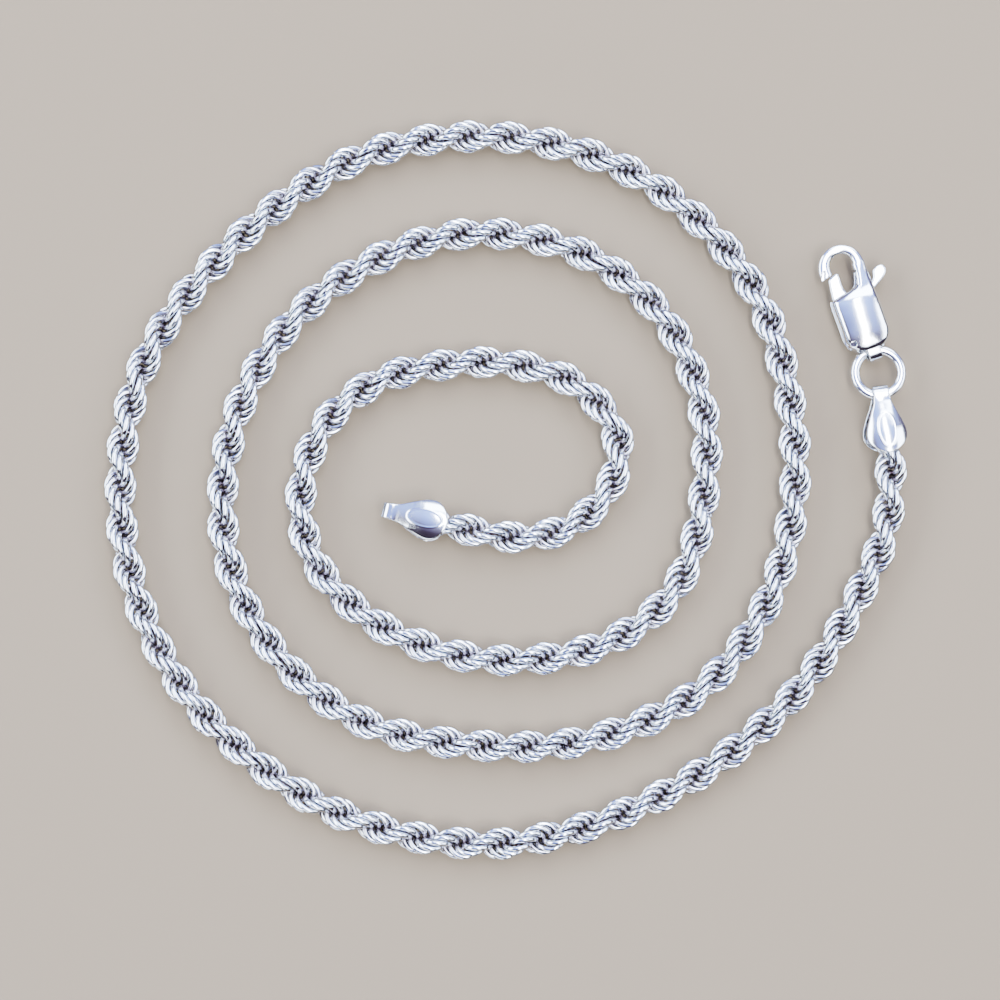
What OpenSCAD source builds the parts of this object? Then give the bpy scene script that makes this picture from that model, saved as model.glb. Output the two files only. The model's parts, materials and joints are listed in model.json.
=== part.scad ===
// Silver rope chain necklace, lying open in a flat spiral.
// +Z is up, the origin is on the surface under the middle of the spiral, and sizes are in millimetres.

/* [Rope chain] */
// Outer diameter of the rope
chain_d = 2.82; // [2.4:0.02:3.0]
// Longest step between two rings of the tube that stands for the rope
ring_step = 5.8; // [5.8:0.2:8]

/* [End caps] */
// Thickness of the folded sheet
sheet_t = 0.26; // [0.2:0.02:0.34]
// Gap between the rope and the leaves round it
leaf_gap = 0.06; // [0.04:0.01:0.1]
// Distance from the eye's centre to the rounded end of the leaves
cap_l = 4.9; // [4.6:0.05:5.2]
// Length of rope that the leaves hold
grip_l = 1.95; // [1.4:0.05:2.2]
// Play of the jump ring's wire in the eye that the strip is folded into
cap_eye_play = 0.38; // [0.34:0.02:0.5]
// Width of the strip round the eye
strip_w = 1.3; // [1:0.05:1.5]
// Height of the slit between the two leaves
leaf_slit = 0.5; // [0.3:0.05:0.8]

/* [Jump ring] */
// Diameter of the ring through the middle of its wire
ring_d = 3.88; // [3.6:0.02:4.4]
// Diameter of its wire
ring_wire = 0.84; // [0.7:0.02:0.86]
// How far the wire lies under the middle of the eyes that hold it
ring_drop = 0.04; // [0:0.01:0.06]
// How far the wire bears out towards the end of each eye
ring_bear = 0.05; // [0.03:0.01:0.07]
// Direction from the clasp end's cap to the ring's centre, in degrees
ring_dir = 94; // [92:1:100]

/* [Clasp body] */
// Width of the body
body_w = 3.88; // [3.6:0.02:4.2]
// Length from the eye's centre to the floor of the mouth
body_l = 5.2; // [5.1:0.05:5.6]
// Thickness of the body
body_t = 2.8; // [2.6:0.05:3.1]
// Thickness of the body at its long sides
body_edge_t = 2.1; // [1.9:0.05:2.3]
// Corner radius at the eye's end
body_corner_r = 1.6; // [1.3:0.05:1.8]
// Play of the jump ring's wire in the clasp's eye
clasp_eye_play = 0.46; // [0.42:0.02:0.56]
// Wall round the clasp's eye
clasp_eye_wall = 0.3; // [0.24:0.02:0.36]
// Width of the clasp's eye
clasp_eye_w = 1.15; // [0.9:0.05:1.2]
// Radius of the hook through the middle of its wire
hook_r = 1.5; // [1.4:0.02:1.6]
// Diameter of the hook's wire
hook_wire = 0.84; // [0.76:0.02:0.9]
// How far the floor of the mouth falls towards the claw
mouth_fall = 0.25; // [0.15:0.05:0.35]
// Height of the hook's centre over the floor of the mouth
hook_rise = 2.2; // [2:0.05:2.4]
// Direction from the ring's centre to the clasp's eye, in degrees
clasp_seat_dir = 104; // [102:1:110]
// Direction of the clasp's length, in degrees
clasp_dir = 110; // [106:1:114]

/* [Clasp lever] */
// Thickness of the lever
lever_t = 1.0; // [0.9:0.02:1.1]
// Gap between the lever and the walls of its slot, above and below
lever_gap = 0.08; // [0.06:0.01:0.12]
// Width of the claw
claw_w = 0.96; // [0.8:0.02:1]
// Gap between the claw and the end of the hook
tip_gap = 0.08; // [0.06:0.01:0.12]
// Radius of the lever's eye round the pin
hub_r = 0.42; // [0.4:0.01:0.46]
// How far the lever opens, in degrees
lever_swing = 15; // [10:1:15]
// Width of the arm that crosses the body to the thumb tab
cross_w = 0.62; // [0.5:0.02:0.7]
// Length of the thumb tab beyond the body
tab_l = 1.4; // [1.2:0.05:1.6]
// Height of the thumb tab over the floor of the mouth
tab_rise = 1.38; // [1.2:0.02:1.5]
// Clearance round the lever in its slot, over its whole swing
slot_gap = 0.12; // [0.1:0.01:0.16]

/* [Clasp pin] */
// Diameter of the pivot pin
pin_d = 0.4; // [0.34:0.02:0.44]
// Distance from the pin's middle to the body's long side
pin_side = 0.52; // [0.5:0.01:0.6]
// Height of the pin's middle over the eye's centre
pin_rise = 1.08; // [1.04:0.02:1.3]
// Radial running clearance between the pin and the lever
pin_gap = 0.04; // [0.02:0.01:0.06]
// How deep the pin's ends lie under the body's faces
pin_recess = 0.1; // [0.06:0.02:0.14]

/* [Hidden] */
$fn = 64;
e = 0.01;

// The rope's route, chosen by hand: points on the surface, from the tail end out to the clasp end
ROUTE = [
    [-6.75, -2.5], [-2.5, -3.5], [1.5, -4], [5.5, -3], [8.75, 0.25], [9.25, 4.75], [6, 8.75],
    [0.75, 10.5], [-5, 10.5], [-11, 9], [-15.5, 5], [-17.25, -1], [-15.75, -6.5], [-11.25, -11],
    [-4.75, -13.75], [2.5, -14.25], [9.25, -12.5], [14.25, -8.25], [16.5, -1.5], [16.5, 7],
    [13, 14.75], [6, 20], [-3, 21.5], [-11.5, 19], [-18.5, 13.5], [-23, 5], [-23.5, -5],
    [-19.5, -13.5], [-12, -19.5], [-2, -21.5], [8, -20.75], [17, -16.25], [22.75, -7.5], [24.25, 4],
    [21, 16.5], [12.5, 25.5], [1, 29.5], [-12, 28], [-23.5, 20], [-31, 9], [-32, -5], [-26.5, -17.5],
    [-15, -26.75], [-1, -29.75], [12.5, -26], [24, -17.5], [31, -6], [32.25, 1], [31.75, 5]
];
LAST = len(ROUTE) - 1;
ROPE_SIDES = 8;
TAIL_END = ROUTE[0];
TAIL_DIR = unit(ROUTE[0] - ROUTE[1]);
CLASP_END = ROUTE[LAST];
CAP_DIR = unit(ROUTE[LAST] - ROUTE[LAST - 1]);

// End caps: the leaves fit round the rope, and the rope starts where they are wide enough for it
chain_r = chain_d / 2;
leaf_in_r = chain_r + leaf_gap;
cap_r = leaf_in_r + sheet_t;
grip_u = cap_l - grip_l;
cap_eye_r = (ring_wire + cap_eye_play) / 2;
loop_r = cap_eye_r + sheet_t;
cap_z = cap_r;

// The leaves' outer profile: share of the way from the eye to the grip, share of the leaf's radius
LEAF_PROFILE = [[0.2, 0.43], [0.3, 0.48], [0.44, 0.6], [0.6, 0.76], [0.76, 0.88], [0.9, 0.97], [1, 1]];
// The round end of the leaves from above: share of the cap's length, share of the leaf's radius
LEAF_END = [
    [0.24, 0.6], [0.4, 1.01], [0.7, 1.01], [0.8, 0.94], [0.88, 0.78], [0.94, 0.58], [0.98, 0.34], [1, 0.12]
];

// Jump ring: it leans a little, from the cap's eye down to the clasp's eye
ring_r = ring_d / 2;
clasp_z = body_t / 2;
ring_lean = asin((cap_z - clasp_z) / ring_d);
cap_eye_at = CLASP_END + CAP_DIR * grip_u;
ring_reach = ring_r * cos(ring_lean) - ring_bear;
ring_at = cap_eye_at + ring_reach * [cos(ring_dir), sin(ring_dir)];
ring_z = (cap_z + clasp_z) / 2 - ring_drop;

// Clasp: its own frame has X across, Y from the eye to the hook, and Z up from the middle of its thickness
clasp_at = ring_at + ring_reach * [cos(clasp_seat_dir), sin(clasp_seat_dir)];
half_w = body_w / 2;
floor_y = body_l;
shoulder_y = floor_y - mouth_fall;
eye_r = (ring_wire + clasp_eye_play) / 2;
eye_outer_r = eye_r + clasp_eye_wall;
hook_c = [-0.02 * body_w, floor_y + hook_rise];
hook_in = hook_r - hook_wire / 2;
hook_out = hook_r + hook_wire / 2;
HOOK_FROM = -2;
HOOK_TO = 195;
bow_r = (half_w * half_w + pow((body_t - body_edge_t) / 2, 2)) / (body_t - body_edge_t);
slot_h = lever_t + 2 * lever_gap;

// Half the clasp's thickness along its length: share of the body's length, share of half its thickness
BODY_SIDE = [[-0.02, 0.67], [0.12, 0.83], [0.27, 0.95], [0.48, 1], [0.73, 0.98], [0.9, 0.88]];
// The same for the neck over the mouth's floor: share of the hook's rise, share of half the hook's wire
NECK_SIDE = [[0.05, 2.1], [0.35, 1.45], [0.7, 1.1], [1.03, 1]];

// Pin and lever
pin_r = pin_d / 2;
bore_r = pin_r + pin_gap;
pin_at = [-half_w + pin_side, pin_rise];
bow_drop = bow_r - sqrt(bow_r * bow_r - pin_at[0] * pin_at[0]);
pin_l = body_t - 2 * bow_drop - 2 * pin_recess;
tip_out = [cos(HOOK_TO), sin(HOOK_TO)];
tip_down = [-sin(HOOK_TO), cos(HOOK_TO)];
claw_top = [
    for (share = [0.52, -0.48]) hook_c + (hook_in + share * hook_wire) * tip_out + tip_gap * tip_down
];
claw_right = claw_top[1][0] + 0.1 * claw_w;
claw_foot = 0.3 * claw_w;
hub_left = pin_at[0] - hub_r;
cross_top = floor_y + 0.2 * slot_gap;
arm_corner = [pin_at[0] + 1.9 * hub_r, 0.72 * floor_y];
arm_side = [pin_at[0] + 1.2 * hub_r, 0.6 * floor_y];
cross_low = [half_w - 0.8 * cross_w, cross_top - cross_w];
tab_low = [half_w, cross_top - cross_w / 2];
tab_root = [half_w - 0.15 * cross_w, cross_top + 0.5 * cross_w];
throat_x = hook_c[0] + hook_in - 0.5 * slot_gap;
// The thumb tab from above: share of its length beyond the body, share of its height over the mouth's floor
TAB = [[0.16, 0.43], [0.34, 0.97], [0.84, 1], [1, 0.62], [0.8, 0.2], [0.35, 0]];

function unit(v) = v / norm(v);
// Where a point of the lever lies with the clasp fully open
function opened(p) =
    let (d = p - pin_at, c = cos(lever_swing), s = sin(lever_swing))
    pin_at + [d[0] * c + d[1] * s, d[1] * c - d[0] * s];
function curve(a, b, c, d, t) =
    0.5 * (2 * b + (c - a) * t + (2 * a - 5 * b + 4 * c - d) * t * t + (3 * b - a - 3 * c + d) * t * t * t);
function before(i) = i > 0 ? ROUTE[i - 1] : 2 * ROUTE[0] - ROUTE[1];
function after(i) = i < LAST ? ROUTE[i + 1] : 2 * ROUTE[LAST] - ROUTE[LAST - 1];
// The rope lies on the surface and rises near its ends, over the second stretch from each
function lift(s) = s <= 1 ? 1 : s >= 2 ? 0 : 0.5 + 0.5 * cos(180 * (s - 1));
function rope_z(i, t) = chain_r + (cap_z - chain_r) * lift(min(i + t, LAST - i - t));
function rope_point(i, t) =
    let (p = curve(before(i), ROUTE[i], ROUTE[i + 1], after(i + 1), t)) [p[0], p[1], rope_z(i, t)];
function steps(i) = max(1, round(norm(ROUTE[i + 1] - ROUTE[i]) / ring_step));
function rope_points() = [
    for (i = [0 : LAST - 1], k = [0 : steps(i) - 1]) rope_point(i, k / steps(i)),
    rope_point(LAST - 1, 1)
];
function mirrored(points) =
    concat(points, [for (i = [len(points) - 1 : -1 : 0]) [points[i][0], -points[i][1]]]);

// A tube of ROPE_SIDES sides swept along points in space, its rings upright across the way
module swept_tube(points, r) {
    n = len(points);
    m = ROPE_SIDES;
    rings = [for (i = [0 : n - 1])
        let (
            a = points[max(i - 1, 0)],
            b = points[min(i + 1, n - 1)],
            way = unit([b[0] - a[0], b[1] - a[1]]),
            side = [-way[1], way[0]]
        )
        [for (k = [0 : m - 1])
            [
                points[i][0] + r * cos(360 * k / m) * side[0],
                points[i][1] + r * cos(360 * k / m) * side[1],
                points[i][2] + r * sin(360 * k / m)
            ]]];
    faces = concat(
        [[for (k = [0 : m - 1]) k]],
        [for (i = [0 : n - 2], k = [0 : m - 1])
            [i * m + k, (i + 1) * m + k, (i + 1) * m + (k + 1) % m, i * m + (k + 1) % m]],
        [[for (k = [m - 1 : -1 : 0]) (n - 1) * m + k]]
    );
    polyhedron([for (ring = rings, p = ring) p], faces);
}

// Places a child that is drawn with its eye at the origin and +X along dir
module at_end(at, dir, z) {
    translate([at[0], at[1], z]) rotate([0, 0, atan2(dir[1], dir[0])]) children();
}

// The hollow turned form that the leaves are cut from, along +X
module leaf_shell() {
    outer = [for (p = LEAF_PROFILE) [p[1] * cap_r, p[0] * grip_u]];
    inner = [for (p = LEAF_PROFILE) [p[1] * cap_r - sheet_t, p[0] * grip_u]];
    rotate([0, 90, 0]) rotate_extrude()
        polygon(concat(
            outer,
            [[cap_r, cap_l], [leaf_in_r, cap_l]],
            [for (i = [len(inner) - 1 : -1 : 0]) inner[i]]
        ));
}

// What the leaves keep of it: the strip's width at the eye, then a teardrop with a round end
module leaf_outline() {
    linear_extrude(height = 2 * cap_r + 2 * e, center = true)
        polygon(mirrored(concat(
            [[0, strip_w / 2], [0.15 * cap_l, strip_w / 2]],
            [for (p = LEAF_END) [p[0] * cap_l, p[1] * cap_r]]
        )));
}

// One end cap: the strip folded into an eye, and its two leaves over and under the rope
module end_cap() {
    rotate([0, 0, 180]) difference() {
        union() {
            difference() {
                intersection() {
                    leaf_shell();
                    leaf_outline();
                }
                translate([cap_l / 2 + loop_r, 0, 0]) cube([cap_l, 3 * cap_r, leaf_slit], center = true);
            }
            rotate([90, 0, 0]) cylinder(h = strip_w, r = loop_r, center = true);
        }
        rotate([90, 0, 0]) cylinder(h = 2 * strip_w, r = cap_eye_r, center = true);
    }
}

module rope_chain() {
    color("#aeb1bb") swept_tube(rope_points(), chain_r);
}

module end_cap_tail() {
    color("#c9ccd6") at_end(TAIL_END + TAIL_DIR * grip_u, TAIL_DIR, cap_z) end_cap();
}

module end_cap_clasp() {
    color("#c9ccd6") at_end(cap_eye_at, CAP_DIR, cap_z) end_cap();
}

module jump_ring() {
    color("#c2c6d4")
        translate([ring_at[0], ring_at[1], ring_z])
        rotate([0, 0, ring_dir]) rotate([0, ring_lean, 0])
        rotate_extrude() translate([ring_r, 0]) circle(d = ring_wire);
}

// The clasp's frame, at its eye
module clasp_frame() {
    translate([clasp_at[0], clasp_at[1], clasp_z]) rotate([0, 0, clasp_dir - 90]) children();
}

// The clasp body seen from above, without the hook
module body_plan() {
    corner_x = half_w - body_corner_r;
    difference() {
        union() {
            translate([-half_w, body_corner_r]) square([body_w, shoulder_y - body_corner_r]);
            translate([-corner_x, 0]) square([2 * corner_x, body_corner_r + e]);
            for (side = [-1, 1]) translate([side * corner_x, body_corner_r]) circle(r = body_corner_r);
            polygon([
                [-half_w, shoulder_y - e],
                [-half_w, shoulder_y],
                [0, floor_y],
                [0, floor_y + 0.3 * hook_rise],
                [hook_c[0] + hook_in, floor_y + 0.5 * hook_rise],
                [hook_c[0] + hook_in, hook_c[1] + e],
                [hook_c[0] + hook_out, hook_c[1] + e],
                [half_w, shoulder_y - e]
            ]);
        }
        translate([hook_c[0], floor_y + hook_in]) circle(r = hook_in);
    }
}

// The clasp body seen from the side, as half thickness over length
module body_side() {
    body_part = [for (p = BODY_SIDE) [p[0] * body_l, p[1] * body_t / 2]];
    neck_part = [for (p = NECK_SIDE) [floor_y + p[0] * hook_rise, p[1] * hook_wire / 2]];
    rotate([90, 0, 90]) linear_extrude(height = 2 * body_w, center = true)
        polygon(mirrored(concat(body_part, neck_part)));
}

// The slot that the lever turns in: open to the left, to the mouth and, for the tab, to the right
module lever_slot() {
    room = [slot_gap, -slot_gap];
    linear_extrude(height = slot_h, center = true) polygon([
        [-body_w, pin_at[1] - 0.5 * hub_r],
        [pin_at[0] + 0.5 * hub_r, pin_at[1] - 0.5 * hub_r],
        opened([pin_at[0] + hub_r, pin_at[1]]) + [slot_gap, 0],
        opened(arm_side) + room,
        opened(arm_corner) + room,
        opened(cross_low) + room,
        opened(tab_low) + room,
        [body_w, opened(tab_low)[1] - slot_gap],
        [body_w, floor_y + 0.65 * tab_rise],
        tab_root + [-slot_gap, slot_gap],
        [throat_x, cross_top + 2 * slot_gap],
        [throat_x, floor_y + 0.5 * hook_rise],
        [-body_w, floor_y + 0.5 * hook_rise]
    ]);
    translate(pin_at) cylinder(h = slot_h, r = hub_r + slot_gap, center = true);
}

module clasp_body() {
    color("#d3d7e6") clasp_frame() difference() {
        union() {
            intersection() {
                linear_extrude(height = 2 * body_t, center = true) body_plan();
                body_side();
                intersection_for (up = [-1, 1])
                    translate([0, 0, up * (body_t / 2 - bow_r)])
                    rotate([-90, 0, 0]) cylinder(h = 4 * body_l, r = bow_r, center = true, $fn = 128);
            }
            translate(hook_c) rotate([0, 0, HOOK_FROM]) rotate_extrude(angle = HOOK_TO - HOOK_FROM)
                translate([hook_r, 0]) circle(d = hook_wire);
            rotate([0, 90, 0]) cylinder(h = clasp_eye_w, r = eye_outer_r, center = true);
        }
        rotate([0, 90, 0]) cylinder(h = 2 * body_w, r = eye_r, center = true);
        lever_slot();
        translate(pin_at) cylinder(h = 2 * body_t, r = pin_r, center = true);
    }
}

module clasp_pin() {
    color("#8d8f98") clasp_frame() translate(pin_at) cylinder(h = pin_l, r = pin_r, center = true);
}

// The lever seen from above: the arm from the pin to the claw, and the arm across to the thumb tab
module lever_plan() {
    polygon(concat(
        [
            [pin_at[0] - 0.6 * hub_r, pin_at[1] - 0.3 * hub_r],
            [hub_left, 0.4 * floor_y],
            [hub_left, 0.8 * floor_y],
            [claw_right - 1.2 * claw_w, floor_y - claw_foot / 3],
            claw_top[0],
            claw_top[1],
            [claw_right, claw_top[1][1] - claw_foot],
            [claw_right, floor_y + 1.4 * claw_foot],
            [claw_right + claw_foot, cross_top - 0.1 * cross_w],
            [half_w - 0.8 * cross_w, cross_top],
            tab_root
        ],
        [for (p = TAB) [half_w + p[0] * tab_l, floor_y + p[1] * tab_rise]],
        [
            tab_low,
            cross_low,
            arm_corner,
            arm_side,
            [pin_at[0] + 0.6 * hub_r, pin_at[1] - 0.3 * hub_r]
        ]
    ));
}

module clasp_lever() {
    color("#e2e5f0") clasp_frame() difference() {
        union() {
            linear_extrude(height = lever_t, center = true) lever_plan();
            translate(pin_at) cylinder(h = lever_t, r = hub_r, center = true);
        }
        translate(pin_at) cylinder(h = 2 * lever_t, r = bore_r, center = true);
    }
}

rope_chain();
end_cap_tail();
end_cap_clasp();
jump_ring();
clasp_body();
clasp_pin();
clasp_lever();
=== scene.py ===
"""A polished silver rope chain necklace with a lobster clasp, lying open in a flat spiral on a pale floor.

The frame is in metres. Castings and stampings are worked out in millimetres in a frame of their own, as
solids of signed distance, and are then laid down on the frame.
"""

import json
import math

import bpy
import numpy as np
from mathutils import Matrix, Vector


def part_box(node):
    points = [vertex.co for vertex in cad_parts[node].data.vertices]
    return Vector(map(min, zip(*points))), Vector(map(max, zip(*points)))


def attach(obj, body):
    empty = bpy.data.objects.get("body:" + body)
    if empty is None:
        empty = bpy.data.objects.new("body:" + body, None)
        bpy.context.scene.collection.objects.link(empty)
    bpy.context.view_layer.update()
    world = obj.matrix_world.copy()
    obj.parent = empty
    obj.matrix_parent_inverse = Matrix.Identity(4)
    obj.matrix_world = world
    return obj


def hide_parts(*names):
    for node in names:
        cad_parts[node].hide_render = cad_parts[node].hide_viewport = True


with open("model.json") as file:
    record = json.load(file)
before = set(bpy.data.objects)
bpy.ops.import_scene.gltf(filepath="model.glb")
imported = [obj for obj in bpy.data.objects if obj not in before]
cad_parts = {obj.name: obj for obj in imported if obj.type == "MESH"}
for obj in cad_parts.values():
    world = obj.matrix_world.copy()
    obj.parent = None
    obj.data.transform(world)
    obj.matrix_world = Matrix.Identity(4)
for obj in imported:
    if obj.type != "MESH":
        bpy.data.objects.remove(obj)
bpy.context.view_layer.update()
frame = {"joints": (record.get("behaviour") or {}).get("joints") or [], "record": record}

MM = 0.001
MOUNTS = {m["name"]: m for m in frame["record"]["mounts"]}
HINGE = next(j for j in frame["joints"] if j["name"] == "clasp_lever_hinge")

# The rope's route in metres, from the tail end out to the clasp end
ROUTE = np.array([
    (-0.00675, -0.0025), (-0.0025, -0.0035), (0.0015, -0.004), (0.0055, -0.003), (0.00875, 0.00025),
    (0.00925, 0.00475), (0.006, 0.00875), (0.00075, 0.0105), (-0.005, 0.0105), (-0.011, 0.009),
    (-0.0155, 0.005), (-0.01725, -0.001), (-0.01575, -0.0065), (-0.01125, -0.011), (-0.00475, -0.01375),
    (0.0025, -0.01425), (0.00925, -0.0125), (0.01425, -0.00825), (0.0165, -0.0015), (0.0165, 0.007),
    (0.013, 0.01475), (0.006, 0.02), (-0.003, 0.0215), (-0.0115, 0.019), (-0.0185, 0.0135),
    (-0.023, 0.005), (-0.0235, -0.005), (-0.0195, -0.0135), (-0.012, -0.0195), (-0.002, -0.0215),
    (0.008, -0.02075), (0.017, -0.01625), (0.02275, -0.0075), (0.02425, 0.004), (0.021, 0.0165),
    (0.0125, 0.0255), (0.001, 0.0295), (-0.012, 0.028), (-0.0235, 0.02), (-0.031, 0.009),
    (-0.032, -0.005), (-0.0265, -0.0175), (-0.015, -0.02675), (-0.001, -0.02975), (0.0125, -0.026),
    (0.024, -0.0175), (0.031, -0.006), (0.03225, 0.001), (0.03175, 0.005),
])
LAST = len(ROUTE) - 1

# Rope, in metres: every ring is turned and moved on from the one before it, give or take a little
ROPE_R = 1.41 * MM
WIRE_D = 0.45 * MM
RING_STEP = 0.56 * MM
RING_TURN = math.radians(-28.8)
RING_LOOSE = math.radians(1.6)
RING_SEED = 5
RING_SEGMENTS = 36
WIRE_SIDES = 10
ROPE_PIECES = 4
# Points of the rope's middle line to each stretch of the route
ROUTE_SAMPLES = 40
# The wire is fully darkened within the first share of the rope's radius, and not at all beyond the second:
# painted shade between the rings, with tarnish
SHADE_AND_TARNISH_FULL_WITHIN = 0.2
SHADE_AND_TARNISH_GONE_BEYOND = 0.8

# End caps and jump ring, in millimetres
SHEET_T = 0.26
CAP_L = 4.9
CAP_R = 1.73
EYE_R = 0.61
STRIP_W = 1.3
LEAF_SLIT = 0.5
# Under 1, the rounding along a leaf's edge is wider from above than it is high
LEAF_EASE = 0.8
TAIL_ROLL = math.radians(-4)
# Where the leaves begin to roll, and the length that they take for it
ROLL_FROM = 0.3
ROLL_OVER = 1.4
# How far the strip round the eye runs towards the leaves
EYE_TO = 0.35
JUMP_D = 3.88
JUMP_WIRE = 0.84
JUMP_FLATNESS = 0.8
JUMP_SEGMENTS = 128
JUMP_SIDES = 40
# Direction from the clasp end's cap to the ring's middle
JUMP_DIR = math.radians(94)

# Clasp, in millimetres, with X across, Y from the eye to the hook and Z up from the middle of its thickness
HALF_W = 1.94
HALF_T = 1.4
# Thickness of the body at its sides, as a share of that along its middle
EDGE_SHARE = 0.75
CORNER_R = 1.6
FLOOR_Y = 5.2
# How much each side of the body draws in past the mouth's floor, and over what length
NECK_IN = 0.05
NECK_L = 2
HOOK_C = (-0.078, 7.4)
HOOK_END = math.radians(195)
# Power of the hook's section: 2 is an ellipse, and more is squarer
HOOK_POWER = 3
# How far the hook's root runs down into the neck, how fast it narrows, and how much further it does so
HOOK_ROOT = 1.5
HOOK_ROOT_TAPER = 0.13
HOOK_ROOT_SPARE = 0.2
CLASP_EYE_R = 0.65
CLASP_EYE_WALL = 0.3
CLASP_EYE_W = 1.15
# The lever turns in a slot on the pin, whose ends lie down in a hole through either wall of the slot
PIN_AT = (-1.42, 1.08)
PIN_R = 0.2
PIN_HALF = 0.64
HOLE_R = 0.25
HOLE_FROM = 0.56
HUB_R = 0.34
LEVER_T = 1.0
SLOT_H = 1.16

# Boxes and grid cells that the castings and stampings are meshed in, in millimetres
CAP_BOX = ((-1, -1.85, -1.85), (5, 1.85, 1.85))
CAP_GRID = 0.045
BODY_BOX = ((-2.2, -1.1, -1.55), (2.1, 9.5, 1.55))
LEVER_BOX = ((-2, 0.5, -0.6), (3.5, 7.4, 0.6))
CLASP_GRID = 0.05
PIN_BOX = ((-1.8, 0.7, -1), (-1, 1.5, 1))
PIN_GRID = 0.025
# Rounds of moving the meshed points onto the surface, and the most that one round moves them, in cells
SETTLE_ROUNDS = 4
SETTLE_REACH = 0.3

# Camera, in metres: the picture's middle, its width at the rope's height, and the camera's height over it
VIEW_MIDDLE = (-0.5 * MM, -0.88 * MM)
VIEW_ACROSS = 0.084
VIEW_HEIGHT = 0.2

# Stage, in metres
FLOOR_HALF = 0.6
FLOOR_COLOR = (0.185, 0.145, 0.1)
FLOOR_ROUGHNESS = 0.9
BACKDROP = (0.9, 0.83, 0.76)
LIGHT_AWAY = 0.7
# Soft boxes: name, azimuth and elevation in degrees, size in metres, turn in degrees, glow and colour
LIGHTS = [
    ("band", 30, 80, (0.14, 0.8), 70, 30, (1, 1, 1)),
    ("left", 170, 36, (0.8, 0.3), 0, 18, (0.85, 0.93, 1)),
    ("far", 80, 40, (0.6, 0.28), 0, 15, (0.85, 0.93, 1)),
    ("right", 5, 40, (0.5, 0.3), 0, 12, (0.8, 0.88, 1)),
    ("corner", -50, 60, (0.24, 0.2), 0, 16, (0.9, 0.95, 1)),
    ("near", -115, 16, (0.5, 0.1), 0, 14, (0.9, 0.95, 1)),
]
# Direction of the sky's brightest part, and its colours by the cosine of the angle away from it
SKY_BRIGHTEST = (0, 0.5, 0.866)
SKY_STOPS = [
    (0, (0.02, 0.01, 0.02)), (0.45, (0.07, 0.04, 0.09)), (0.66, (0.22, 0.18, 0.4)),
    (0.77, (0.44, 0.56, 1.4)), (0.88, (0.64, 0.94, 2.4)), (1, (1, 1.6, 3.8)),
]

# Silver: the dark colour painted into the rope's core, standing for the shade between its rings and for
# tarnish
CORE_SHADE_AND_TARNISH = (0.2, 0.15, 0.18)
# Faint clouds: where on their noise they are full and where they are gone, and how dark they are
CLOUD_SCALE = 420
CLOUD_DETAIL = 4
CLOUD_STOPS = (0.3, 0.62)
CLOUD_SHADE = 0.88
# Shares of the roughness at the low and at the high end of the same noise
GLOSS_SHARES = (0.7, 1.4)
# Fine wear, with its depth in metres
WEAR_SCALE = 2600
WEAR_DETAIL = 3
WEAR_DEPTH = 0.00002


def mesh_object(name, vertices, faces, unshaded_untarnished=None):
    """A smooth mesh object from vertices in metres and quads; unshaded_untarnished runs from 0, painted
    shade and tarnish, to 1, neither.
    """
    mesh = bpy.data.meshes.new(name)
    mesh.vertices.add(len(vertices))
    mesh.vertices.foreach_set("co", np.asarray(vertices, float).ravel())
    mesh.loops.add(faces.size)
    mesh.loops.foreach_set("vertex_index", faces.ravel().astype(np.int32))
    mesh.polygons.add(len(faces))
    mesh.polygons.foreach_set("loop_start", np.arange(0, faces.size, 4, dtype=np.int32))
    mesh.polygons.foreach_set("use_smooth", np.ones(len(faces), bool))
    if unshaded_untarnished is not None:
        mesh.attributes.new("unshaded_untarnished", "FLOAT", "POINT").data.foreach_set("value", unshaded_untarnished)
    mesh.update(calc_edges=True)
    mesh.validate()
    obj = bpy.data.objects.new(name, mesh)
    bpy.context.scene.collection.objects.link(obj)
    return obj


def torus(radius, wire_r, segments, sides, flatness=1):
    """Vertices (segments, sides, 3) and quads of a ring in XY; flatness under 1 squares the wire."""
    u = np.linspace(0, 2 * np.pi, segments, endpoint=False)[:, None]
    v = np.linspace(0, 2 * np.pi, sides, endpoint=False)[None, :]
    wide = np.sign(np.cos(v)) * np.abs(np.cos(v)) ** flatness
    high = np.sign(np.sin(v)) * np.abs(np.sin(v)) ** flatness
    out = radius + wire_r * wide
    points = np.stack([out * np.cos(u), out * np.sin(u), wire_r * high + 0 * u], axis=-1)
    i, j = np.meshgrid(np.arange(segments), np.arange(sides), indexing="ij")
    i2, j2 = (i + 1) % segments, (j + 1) % sides
    quads = np.stack([i * sides + j, i2 * sides + j, i2 * sides + j2, i * sides + j2], axis=-1)
    return points, quads.reshape(-1, 4)


# Solids of signed distance: negative inside, and joined, met and cut with soft seams k wide


def join(a, b, k):
    h = np.clip(0.5 + 0.5 * (b - a) / k, 0, 1)
    return b * (1 - h) + a * h - k * h * (1 - h)


def meet(a, b, k):
    return -join(-a, -b, k)


def cut(a, b, k):
    return -join(-a, b, k)


def smooth_row(rows, at):
    """A smooth curve through a short table of (place, value) rows."""
    place, value = np.array(rows, float).T
    slope = np.gradient(value, place)
    i = np.clip(np.searchsorted(place, at) - 1, 0, len(place) - 2)
    width = place[i + 1] - place[i]
    t = np.clip((at - place[i]) / width, 0, 1)
    return (
        value[i] * (1 + 2 * t) * (1 - t) ** 2 + value[i + 1] * t * t * (3 - 2 * t)
        + width * (slope[i] * t * (1 - t) ** 2 - slope[i + 1] * t * t * (1 - t))
    )


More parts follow.
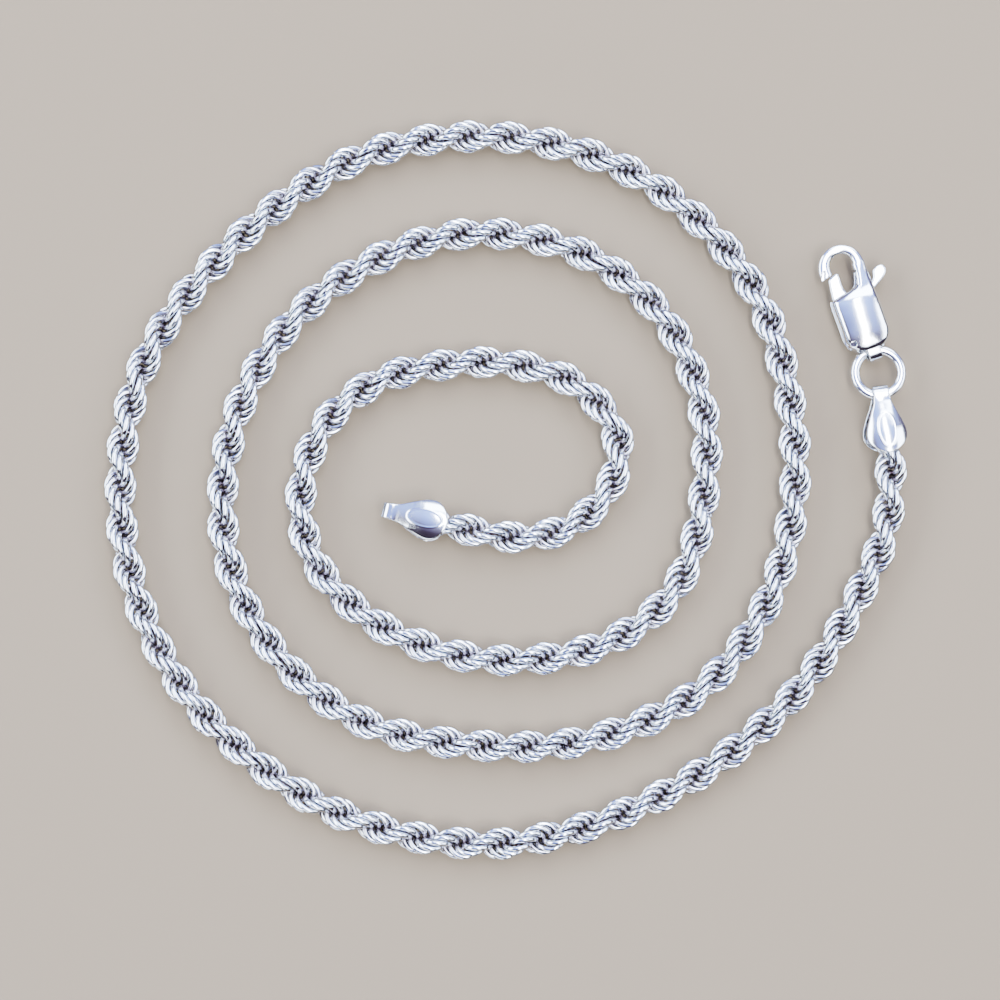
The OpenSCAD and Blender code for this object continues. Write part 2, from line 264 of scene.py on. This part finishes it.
def outline(points, x, y):
    """Signed distance from (x, y) to a closed outline of straight stretches."""
    best = np.full(np.shape(x), 1e9)
    inside = np.zeros(np.shape(x), bool)
    for (ax, ay), (bx, by) in zip(points, points[1:] + points[:1]):
        ex, ey = bx - ax, by - ay
        t = np.clip(((x - ax) * ex + (y - ay) * ey) / (ex * ex + ey * ey), 0, 1)
        best = np.minimum(best, np.hypot(x - ax - t * ex, y - ay - t * ey))
        if ey:
            inside ^= ((ay > y) != (by > y)) & (x < ax + (y - ay) * ex / ey)
    return np.where(inside, -best, best)


def soften(points):
    """The closed outline with each corner cut off at a quarter of its sides."""
    softer = []
    for a, b in zip(points, points[1:] + points[:1]):
        softer.append((0.75 * a[0] + 0.25 * b[0], 0.75 * a[1] + 0.25 * b[1]))
        softer.append((0.25 * a[0] + 0.75 * b[0], 0.25 * a[1] + 0.75 * b[1]))
    return softer


def inset(points, by):
    """The corners of a clockwise outline moved in by that much, for a rounding of the same size."""
    moved = []
    for a, b, c in zip(points[-1:] + points[:-1], points, points[1:] + points[:1]):
        u = Vector((b[0] - a[0], b[1] - a[1])).normalized()
        v = Vector((c[0] - b[0], c[1] - b[1])).normalized()
        right = Vector((u.y + v.y, -u.x - v.x))
        right *= 2 * by / right.length_squared
        moved.append((b[0] + right.x, b[1] + right.y))
    return moved


def edges_along(axis, field):
    """Which grid edges along an axis cross the surface where field is 0, and at what share of the edge."""
    first = [slice(None)] * 3
    second = [slice(None)] * 3
    first[axis], second[axis] = slice(None, -1), slice(1, None)
    a, b = field[tuple(first)], field[tuple(second)]
    crossed = (a < 0) != (b < 0)
    return crossed, np.where(crossed, a / np.where(crossed, a - b, 1), 0)


def cell_middles(edges, shape):
    """Which cells have crossed edges, and the mean place of the crossings in each, from 0 to 1."""
    count = np.zeros(shape)
    place = np.zeros((*shape, 3))
    for axis, (crossed, share) in enumerate(edges):
        u, v = [k for k in range(3) if k != axis]
        for du in (0, 1):
            for dv in (0, 1):
                part = [slice(None)] * 3
                part[u] = slice(du, du + shape[u])
                part[v] = slice(dv, dv + shape[v])
                hit = crossed[tuple(part)]
                count += hit
                place[..., axis] += np.where(hit, share[tuple(part)], 0)
                place[..., u] += hit * du
                place[..., v] += hit * dv
    active = count > 0
    return active, place[active] / count[active][:, None]


def edge_quads(axis, crossed, inside, index):
    """A quad through the four cells round each crossed edge along an axis, facing out of the solid."""
    u, v = [k for k in range(3) if k != axis]
    if axis == 1:
        u, v = v, u
    at = np.argwhere(crossed)
    at = at[(at[:, u] > 0) & (at[:, v] > 0) & (at[:, u] < index.shape[u]) & (at[:, v] < index.shape[v])]
    corners = []
    for du, dv in ((1, 1), (0, 1), (0, 0), (1, 0)):
        cell = at.copy()
        cell[:, u] -= du
        cell[:, v] -= dv
        corners.append(index[tuple(cell.T)])
    corners = np.stack(corners, axis=1)
    return np.where(inside[tuple(at.T)][:, None], corners, corners[:, ::-1])


def solid_mesh(form, low, high, step):
    """Vertices and quads of the surface where form is 0, with one vertex to each cell that it crosses."""
    axes = [np.arange(a, b + step, step) for a, b in zip(low, high)]
    field = form(*np.meshgrid(*axes, indexing="ij"))
    edges = [edges_along(axis, field) for axis in range(3)]
    active, middles = cell_middles(edges, np.array(field.shape) - 1)
    index = np.full(active.shape, -1)
    index[active] = np.arange(active.sum())
    points = np.array(low) + step * (np.argwhere(active) + middles)
    quads = [edge_quads(axis, crossed, field < 0, index) for axis, (crossed, _) in enumerate(edges)]
    return settle(form, points, step), np.concatenate(quads)


def settle(form, points, step):
    """Moves points that are near the surface of a form onto it."""
    small = 0.05 * step
    for _ in range(SETTLE_ROUNDS):
        value = form(*points.T)
        slope = np.stack([
            (form(*(points + small * way).T) - form(*(points - small * way).T)) / (2 * small)
            for way in np.eye(3)
        ], axis=1)
        move = -value[:, None] * slope / np.maximum((slope ** 2).sum(1), 0.1)[:, None]
        far = np.linalg.norm(move, axis=1)
        points = points + move * np.minimum(1, SETTLE_REACH * step / np.maximum(far, 1e-9))[:, None]
    return points


def placed(points, matrix):
    """Points in millimetres laid down by a matrix whose place is in metres."""
    turn = np.array(matrix.to_3x3())
    return points @ turn.T * MM + np.array(matrix.translation)


def cast_piece(name, form, low, high, step, matrix, node, body, material):
    """One solid piece that stands for a node of the frame."""
    points, quads = solid_mesh(form, low, high, step)
    obj = mesh_object(name, placed(points, matrix), quads)
    finish_piece(obj, node, body, material)


def finish_piece(obj, node, body, material):
    """Gives a piece its look, hides the frame's node that it stands for, and puts it under the body that it
    moves with.
    """
    obj.data.materials.append(material)
    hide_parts(node)
    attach(obj, body)


# Rope


def rope_line():
    """Points along the rope's middle line, lifted at both ends to the height of the caps."""
    ends = np.vstack([2 * ROUTE[0] - ROUTE[1], ROUTE, 2 * ROUTE[-1] - ROUTE[-2]])
    cap_z = MOUNTS["tail_eye"]["pos_m"][2]
    points = []
    for i in range(LAST):
        a, b, c, d = ends[i:i + 4]
        for t in np.arange(ROUTE_SAMPLES + (i == LAST - 1)) / ROUTE_SAMPLES:
            bend = (2 * a - 5 * b + 4 * c - d) * t * t
            xy = 2 * b + (c - a) * t + bend + (3 * b - a - 3 * c + d) * t ** 3
            s = np.clip(min(i + t, LAST - i - t), 1, 2)
            lift = 0.5 + 0.5 * math.cos(math.pi * (s - 1))
            points.append((*(0.5 * xy), ROPE_R + (cap_z - ROPE_R) * lift))
    return np.array(points)


def rope_rings(material):
    """The interlinked rings, in a few joined pieces."""
    way = rope_line()
    gone = np.concatenate([[0], np.cumsum(np.linalg.norm(np.diff(way, axis=0), axis=1))])
    count = int(gone[-1] / RING_STEP)
    at = (np.arange(count) + 0.5) * gone[-1] / count
    centre = np.stack([np.interp(at, gone, way[:, k]) for k in range(3)], axis=1)
    tangent = np.gradient(centre, axis=0)
    tangent /= np.linalg.norm(tangent, axis=1)[:, None]
    side = np.cross((0, 0, 1), tangent)
    side /= np.linalg.norm(side, axis=1)[:, None]
    up = np.cross(tangent, side)
    chance = np.random.default_rng(RING_SEED)
    turn = np.arange(count) * RING_TURN + chance.normal(0, RING_LOOSE, count)
    lean = chance.normal(0, RING_LOOSE, count)[:, None]
    across = np.cos(turn)[:, None] * side + np.sin(turn)[:, None] * up
    normal = np.cross(tangent, across)
    along = np.cos(lean) * tangent + np.sin(lean) * normal
    normal = np.cross(along, across)
    ring, quads = torus(ROPE_R - WIRE_D / 2, WIRE_D / 2, RING_SEGMENTS, WIRE_SIDES)
    ring = ring.reshape(-1, 3)
    basis = np.stack([along, across, normal], axis=1)
    points = centre[:, None, :] + np.einsum("pk,rkd->rpd", ring, basis)
    # Painted shade with tarnish: the wire is darkened towards the rope's core, where the rings shade each
    # other
    share = np.hypot(ring[:, 1], ring[:, 2]) / ROPE_R
    unshaded_untarnished = np.clip((share - SHADE_AND_TARNISH_FULL_WITHIN) / (SHADE_AND_TARNISH_GONE_BEYOND - SHADE_AND_TARNISH_FULL_WITHIN), 0, 1)
    for k, rings in enumerate(np.array_split(np.arange(count), ROPE_PIECES)):
        faces = quads[None] + (np.arange(len(rings)) * len(ring))[:, None, None]
        vertices = points[rings].reshape(-1, 3)
        obj = mesh_object(f"rope_rings_{k + 1}", vertices, faces.reshape(-1, 4), np.tile(unshaded_untarnished, len(rings)))
        finish_piece(obj, "rope_chain", "necklace", material)


# End caps

# Height of the sheet's middle over the rope's axis, by distance from the eye
CREST = [
    (-0.1, 0.735), (0.1, 0.735), (0.4, 0.79), (0.8, 0.91), (1.2, 1.03), (1.6, 1.15), (2, 1.27), (2.4, 1.38),
    (2.8, 1.48), (3.2, 1.55), (3.6, 1.585), (4.2, 1.59), (5, 1.56),
]
# Radius that the sheet is bent to from side to side, by distance from the eye
BEND = [(0, 6), (0.5, 3.4), (1.1, 2.8), (1.7, 2.7), (2.4, 2.8), (3, 2.85), (5, 2.9)]
# A leaf from above, as (distance from the eye, half the width)
LEAF = [
    (-0.6, 0.65), (0.5, 0.72), (0.9, 0.86), (1.3, 1.04), (1.77, 1.25), (2.2, 1.43), (2.6, 1.58), (3, 1.69),
    (3.4, 1.73), (3.75, 1.66), (4.1, 1.45), (4.4, 1.15), (4.65, 0.76), (4.8, 0.4), (4.86, 0.1),
]
# The oval on each upper leaf: its place, half its length and width, its rim, and how deep it lies
OVAL_AT = 2.9
OVAL = (1.48, 0.72)
RIM_H = 0.025
RIM_W = 0.06
OVAL_DEPTH = 0.01
OVAL_EDGE = 0.02


def cap_form(roll):
    """The folded sheet: an eye round the Y axis, and leaves over and under the rope, turned by roll."""
    edge = soften(LEAF + [(u, -half) for u, half in reversed(LEAF)])

    def form(x, y, z):
        turned = roll * np.clip((x - ROLL_FROM) / ROLL_OVER, 0, 1)
        side = y * np.cos(turned) + z * np.sin(turned)
        up = z * np.cos(turned) - y * np.sin(turned)
        along = np.clip(x, -0.1, CAP_L)
        crest, bend = smooth_row(CREST, along), smooth_row(BEND, along)
        small = 0.02
        slope = (smooth_row(CREST, along + small) - smooth_row(CREST, along - small)) / (2 * small)
        sheet = (np.hypot(side, np.abs(up) - crest + bend) - bend) / np.sqrt(1 + slope ** 2)
        oval = np.hypot((x - OVAL_AT) / OVAL[0], side / OVAL[1])
        away = (oval - 1) * oval / np.hypot((x - OVAL_AT) / OVAL[0] ** 2, side / OVAL[1] ** 2)
        relief = RIM_H * np.exp(-((away / RIM_W) ** 2)) - OVAL_DEPTH / (1 + np.exp(away / OVAL_EDGE))
        leaf = np.abs(sheet) - SHEET_T / 2
        leaf = leaf - np.where((up > 0) & (sheet > 0), relief, 0)
        plan = outline(edge, x, side) * LEAF_EASE
        leaf = meet(leaf, plan, 0.1)
        leaf = meet(leaf, LEAF_SLIT / 2 - np.abs(up), 0.09)
        leaf = meet(leaf, -x, 0.02)
        middle = EYE_R + SHEET_T / 2
        eye = meet(np.abs(np.hypot(x, z) - middle) - SHEET_T / 2, np.abs(y) - STRIP_W / 2, 0.12)
        eye = meet(eye, x - EYE_TO, 0.05)
        return join(leaf, eye, 0.06)

    return form


def end_caps(material):
    """Both caps, each laid from its eye towards the rope's end that it holds."""
    tail = Vector(MOUNTS["tail_eye"]["pos_m"])
    start = Vector((*ROUTE[0], tail.z))
    grip = (tail - start).length
    out = Vector((*(ROUTE[-1] - ROUTE[-2]), 0)).normalized()
    clasp_eye = Vector((*ROUTE[-1], tail.z)) + grip * out
    ends = (("end_cap_tail", tail, start - tail, TAIL_ROLL), ("end_cap_clasp", clasp_eye, -out, 0))
    for name, eye, inward, roll in ends:
        matrix = Matrix.Translation(eye) @ Matrix.Rotation(math.atan2(inward.y, inward.x), 4, "Z")
        cast_piece(name + "_sheet", cap_form(roll), *CAP_BOX, CAP_GRID, matrix, name, "necklace", material)


# Jump ring


def jump_ring(material):
    """The ring between the two eyes, leaning by the difference in their heights."""
    low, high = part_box("jump_ring")
    lean = math.asin((CAP_R - HALF_T) / JUMP_D)
    level = Matrix.Translation((low + high) / 2) @ Matrix.Rotation(JUMP_DIR, 4, "Z")
    matrix = level @ Matrix.Rotation(lean, 4, "Y")
    points, quads = torus(JUMP_D / 2, JUMP_WIRE / 2, JUMP_SEGMENTS, JUMP_SIDES, JUMP_FLATNESS)
    obj = mesh_object("jump_ring_wire", placed(points.reshape(-1, 3), matrix), quads)
    finish_piece(obj, "jump_ring", "necklace", material)


# Clasp

# Share of half the thickness, by distance along the clasp from its eye
BODY_SIDE = [
    (-0.2, 0.62), (0.1, 0.7), (0.6, 0.83), (1.4, 0.95), (2.5, 1), (3.8, 0.98), (4.6, 0.9), (5.2, 0.74),
    (5.9, 0.64), (6.7, 0.54), (7.5, 0.42),
]
# Radius of the middle of the hook's wire, half its width and half its height, by degrees from its root
HOOK_BEND = [
    (0, 1.44), (20, 1.5), (40, 1.57), (90, 1.62), (130, 1.57), (155, 1.51), (175, 1.47), (200, 1.46),
]
HOOK_WIDTH = [
    (0, 0.54), (20, 0.5), (40, 0.45), (90, 0.42), (130, 0.46), (155, 0.51), (175, 0.54), (200, 0.5),
]
HOOK_HEIGHT = [(0, 0.58), (40, 0.52), (90, 0.44), (200, 0.46)]
# The notch in the hook's end that the lever's lip comes to rest against, from above
NOTCH = [(-2.2, 6.8), (-1.72, 7.6), (-1.58, 7.7), (-1.52, 7.56), (-1.84, 6.8)]
NOTCH_FLOOR = -0.1
# The gap in the body in front of its mouth and along its neck, from above
MOUTH = [(-4, 4.65), (0.3, 5.57), (0.5, 5.74), (0.68, 6.4), (0.84, 7.4), (0.84, 9), (-4, 9)]
# The slot that the lever turns in, from above
SLOT = [
    (-4, 0.68), (-1.15, 0.68), (-0.89, 0.97), (-0.28, 2.8), (0.16, 3.33), (2.38, 3.62), (2.94, 3.79),
    (4, 3.79), (4, 6.1), (1.73, 5.65), (0.94, 5.46), (0.98, 6.3), (0.97, 6.7), (0.88, 6.9), (-4, 6.9),
]
# The lever from above, clockwise from the pin
LEVER = [
    (-1.67, 0.95), (-1.84, 2.08), (-1.84, 4.16), (-1.77, 5.1), (-1.58, 6.7), (-1.46, 6.88), (-1, 7.06),
    (-0.68, 7.16), (-0.57, 7.02), (-0.55, 6.6), (-0.62, 6.1), (-0.56, 5.6), (-0.4, 5.35), (-0.2, 5.22),
    (1.44, 5.22), (1.85, 5.5), (2.1, 5.78), (2.2, 6.26), (2.4, 6.5), (2.72, 6.62), (3.12, 6.61),
    (3.32, 6.42), (3.37, 6.1), (3.2, 5.74), (2.86, 5.48), (2.45, 5.21), (1.94, 4.91), (1.44, 4.6),
    (-0.62, 3.74), (-0.92, 3.12), (-1.17, 0.95),
]
LEVER_ROUND = 0.1
LEVER_EDGE = inset(soften(soften(LEVER)), LEVER_ROUND)


def hook_form(x, y, z):
    """The hook: a wire of squarish section bent round HOOK_C, whose root runs down into the neck."""
    angle = np.arctan2(y - HOOK_C[1], x - HOOK_C[0])
    angle = np.where(angle < -math.pi / 2, angle + 2 * math.pi, angle)
    turned = np.clip(angle, 0, HOOK_END)
    past_root = np.clip(HOOK_C[1] - y, 0, HOOK_ROOT + HOOK_ROOT_SPARE) * (x > HOOK_C[0])
    width = smooth_row(HOOK_WIDTH, np.degrees(turned)) - HOOK_ROOT_TAPER * past_root
    height = smooth_row(HOOK_HEIGHT, np.degrees(turned)) - HOOK_ROOT_TAPER * past_root
    bend = smooth_row(HOOK_BEND, np.degrees(turned))
    rise = np.where(past_root > 0, 0, y - HOOK_C[1] - bend * np.sin(turned))
    away = np.hypot(x - HOOK_C[0] - bend * np.cos(turned), rise)
    section = ((away / width) ** HOOK_POWER + np.abs(z / height) ** HOOK_POWER) ** (1 / HOOK_POWER)
    hook = (section - 1) * np.minimum(width, height)
    past_end = -(x - HOOK_C[0]) * math.sin(HOOK_END) + (y - HOOK_C[1]) * math.cos(HOOK_END)
    return meet(hook, np.where(x < HOOK_C[0], past_end, past_root - HOOK_ROOT), 0.12)


def clasp_form(x, y, z):
    """The casting: a domed body with its mouth and neck, the hook and the eye."""
    low = np.hypot(np.maximum(np.abs(x) - HALF_W + CORNER_R, 0), np.minimum(y - CORNER_R, 0)) - CORNER_R
    plan = low + NECK_IN * np.clip((y - FLOOR_Y) / NECK_L, 0, 1)
    plan = cut(plan, outline(MOUTH, x, y), 0.1)
    plan = meet(plan, y - HOOK_C[1], 0.3)
    half = HALF_T * smooth_row(BODY_SIDE, y) * (1 - (1 - EDGE_SHARE) * (x / HALF_W) ** 2)
    body = meet(plan, np.abs(z) - half, 0.5)
    body = join(body, hook_form(x, y, z), 0.3)
    reach = np.hypot(y, z)
    eye = meet(np.abs(reach - CLASP_EYE_R - CLASP_EYE_WALL / 2) - CLASP_EYE_WALL / 2,
               np.abs(x) - CLASP_EYE_W / 2, 0.1)
    body = join(body, eye, 0.12)
    body = cut(body, reach - CLASP_EYE_R, 0.08)
    body = cut(body, meet(outline(SLOT, x, y), np.abs(z) - SLOT_H / 2, 0.02), 0.06)
    hole = np.hypot(x - PIN_AT[0], y - PIN_AT[1]) - HOLE_R
    body = cut(body, meet(hole, HOLE_FROM - np.abs(z), 0.02), 0.05)
    return cut(body, meet(outline(NOTCH, x, y), NOTCH_FLOOR - z, 0.02), 0.05)


def lever_form(x, y, z):
    """The closing arm with its thumb tab, and its hub round the pin."""
    plan = outline(LEVER_EDGE, x, y) - LEVER_ROUND
    hub = np.hypot(x - PIN_AT[0], y - PIN_AT[1]) - HUB_R
    return meet(join(plan, hub, 0.1), np.abs(z) - LEVER_T / 2, 0.16)


def pin_form(x, y, z):
    """The rivet that the lever turns on."""
    return meet(np.hypot(x - PIN_AT[0], y - PIN_AT[1]) - PIN_R, np.abs(z) - PIN_HALF, 0.04)


def clasp(material, pin_shade_material):
    """The clasp's three pieces, laid down by the hook's mount and the lever's hinge."""
    hook = Vector(MOUNTS["clasp_hook"]["pos_m"])
    pin = Vector(HINGE["pos_m"])
    here = Vector(HOOK_C) - Vector(PIN_AT)
    turn = math.atan2(hook.y - pin.y, hook.x - pin.x) - math.atan2(here.y, here.x)
    spin = Matrix.Rotation(turn, 4, "Z")
    eye = pin - spin @ Vector((*PIN_AT, 0)) * MM
    matrix = Matrix.Translation(eye) @ spin
    cast_piece(
        "clasp_casting", clasp_form, *BODY_BOX, CLASP_GRID, matrix, "clasp_body", "necklace", material,
    )
    cast_piece(
        "clasp_lever_arm", lever_form, *LEVER_BOX, CLASP_GRID, matrix, "clasp_lever", "lever", material,
    )
    # The pin takes a near-black painted shade for the dark pit that it sits in
    cast_piece(
        "clasp_pin_rivet", pin_form, *PIN_BOX, PIN_GRID, matrix, "clasp_pin", "necklace", pin_shade_material,
    )


# Materials


def noise(material, where, scale, detail):
    """The value of a noise in the space of those coordinates."""
    texture = material.node_tree.nodes.new("ShaderNodeTexNoise")
    texture.inputs["Scale"].default_value = scale
    texture.inputs["Detail"].default_value = detail
    material.node_tree.links.new(where, texture.inputs["Vector"])
    return texture.outputs["Fac"]


def shaded_and_tarnished(material, undarkened):
    """That colour, turned to CORE_SHADE_AND_TARNISH, a painted shade with tarnish, where the wire's
    unshaded_untarnished attribute falls to 0.
    """
    nodes, links = material.node_tree.nodes, material.node_tree.links
    unshaded_untarnished = nodes.new("ShaderNodeAttribute")
    unshaded_untarnished.attribute_name = "unshaded_untarnished"
    mix = nodes.new("ShaderNodeMix")
    mix.data_type = "RGBA"
    mix.inputs["A"].default_value = (*CORE_SHADE_AND_TARNISH, 1)
    links.new(unshaded_untarnished.outputs["Fac"], mix.inputs["Factor"])
    links.new(undarkened, mix.inputs["B"])
    return mix.outputs["Result"]


def silver(name, color, roughness, grain, core_shade_and_tarnish=False):
    """Polished silver: faint clouds, a drifting gloss and fine wear, with painted shade and tarnish in the
    rope's core if asked.
    """
    material = bpy.data.materials.new(name + "_look")
    material["slot"] = name
    material.use_nodes = True
    nodes, links = material.node_tree.nodes, material.node_tree.links
    shader = nodes["Principled BSDF"]
    shader.inputs["Metallic"].default_value = 1.0
    where = nodes.new("ShaderNodeTexCoord").outputs["Object"]
    cloud = noise(material, where, CLOUD_SCALE, CLOUD_DETAIL)
    tint = nodes.new("ShaderNodeValToRGB")
    for stop, place, shade in zip(tint.color_ramp.elements, CLOUD_STOPS, (CLOUD_SHADE, 1)):
        stop.position = place
        stop.color = (*[shade * c for c in color], 1)
    links.new(cloud, tint.inputs["Fac"])
    surface = tint.outputs["Color"]
    if core_shade_and_tarnish:
        # Painted shade, with tarnish, in the rope's core
        surface = shaded_and_tarnished(material, surface)
    links.new(surface, shader.inputs["Base Color"])
    gloss = nodes.new("ShaderNodeMapRange")
    gloss.inputs["To Min"].default_value = GLOSS_SHARES[0] * roughness
    gloss.inputs["To Max"].default_value = GLOSS_SHARES[1] * roughness
    links.new(cloud, gloss.inputs["Value"])
    links.new(gloss.outputs["Result"], shader.inputs["Roughness"])
    bump = nodes.new("ShaderNodeBump")
    bump.inputs["Strength"].default_value = grain
    bump.inputs["Distance"].default_value = WEAR_DEPTH
    links.new(noise(material, where, WEAR_SCALE, WEAR_DETAIL), bump.inputs["Height"])
    links.new(bump.outputs["Normal"], shader.inputs["Normal"])
    return material


# Stage


def floor():
    """A plain dull square under the necklace."""
    mesh = bpy.data.meshes.new("floor")
    corners = [(x * FLOOR_HALF, y * FLOOR_HALF, 0) for x, y in ((-1, -1), (1, -1), (1, 1), (-1, 1))]
    mesh.from_pydata(corners, [], [(0, 1, 2, 3)])
    obj = bpy.data.objects.new("floor", mesh)
    bpy.context.scene.collection.objects.link(obj)
    material = bpy.data.materials.new("floor_cloth")
    material.use_nodes = True
    shader = material.node_tree.nodes["Principled BSDF"]
    shader.inputs["Base Color"].default_value = (*FLOOR_COLOR, 1)
    shader.inputs["Roughness"].default_value = FLOOR_ROUGHNESS
    mesh.materials.append(material)


def light(name, azimuth, elevation, size, spin, glow, color):
    """A soft box LIGHT_AWAY off in that direction, facing the necklace and turned about its own middle."""
    lamp = bpy.data.lights.new(name, "AREA")
    lamp.shape = "RECTANGLE"
    lamp.size, lamp.size_y = size
    lamp.energy = glow * math.pi * lamp.size * lamp.size_y
    lamp.color = color
    obj = bpy.data.objects.new(name, lamp)
    az, el = math.radians(azimuth), math.radians(elevation)
    way = Vector((math.cos(el) * math.cos(az), math.cos(el) * math.sin(az), math.sin(el)))
    face = way.to_track_quat("Z", "Y").to_matrix().to_4x4()
    there = Matrix.Translation(way * LIGHT_AWAY) @ face
    obj.matrix_world = there @ Matrix.Rotation(math.radians(spin), 4, "Z")
    obj.visible_camera = False
    bpy.context.scene.collection.objects.link(obj)


def camera():
    """Straight down on the spiral, as the picture was taken."""
    lens = bpy.data.cameras.new("camera")
    lens.sensor_width = 36
    lens.lens = lens.sensor_width * VIEW_HEIGHT / VIEW_ACROSS
    lens.clip_start, lens.clip_end = 0.01, 10
    obj = bpy.data.objects.new("camera", lens)
    obj.location = (*VIEW_MIDDLE, VIEW_HEIGHT + ROPE_R)
    bpy.context.scene.collection.objects.link(obj)
    bpy.context.scene.camera = obj


def sky():
    """A pale blue dome that lights the silver, and a plain backdrop in the floor's tone for the camera."""
    world = bpy.data.worlds.new("studio")
    world.use_nodes = True
    nodes, links = world.node_tree.nodes, world.node_tree.links
    where = nodes.new("ShaderNodeTexCoord")
    height = nodes.new("ShaderNodeVectorMath")
    height.operation = "DOT_PRODUCT"
    height.inputs[1].default_value = SKY_BRIGHTEST
    links.new(where.outputs["Generated"], height.inputs[0])
    ramp = nodes.new("ShaderNodeValToRGB")
    while len(ramp.color_ramp.elements) < len(SKY_STOPS):
        ramp.color_ramp.elements.new(1)
    for element, (place, color) in zip(ramp.color_ramp.elements, SKY_STOPS):
        element.position = place
        element.color = (*color, 1)
    links.new(height.outputs["Value"], ramp.inputs["Fac"])
    seen = nodes.new("ShaderNodeLightPath")
    backdrop = nodes.new("ShaderNodeMix")
    backdrop.data_type = "RGBA"
    backdrop.inputs["B"].default_value = (*BACKDROP, 1)
    links.new(seen.outputs["Is Camera Ray"], backdrop.inputs["Factor"])
    links.new(ramp.outputs["Color"], backdrop.inputs["A"])
    links.new(backdrop.outputs["Result"], nodes["Background"].inputs["Color"])
    bpy.context.scene.world = world


camera()
sky()
floor()
for soft_box in LIGHTS:
    light(*soft_box)

# The rope's material darkens its core: painted shade between the rings, with tarnish
rope_silver = silver("rope_silver", color=(0.8, 0.86, 0.96), roughness=0.13, grain=0.2, core_shade_and_tarnish=True)
fitting_silver = silver("fitting_silver", color=(0.88, 0.92, 0.98), roughness=0.13, grain=0.15)
# Near black: painted shade for the dark pit round the pin's head, on a pin that is really silver
pin_silver = silver("pin_silver", color=(0.05, 0.045, 0.07), roughness=0.5, grain=0.4)
rope_rings(rope_silver)
end_caps(fitting_silver)
jump_ring(fitting_silver)
clasp(fitting_silver, pin_silver)
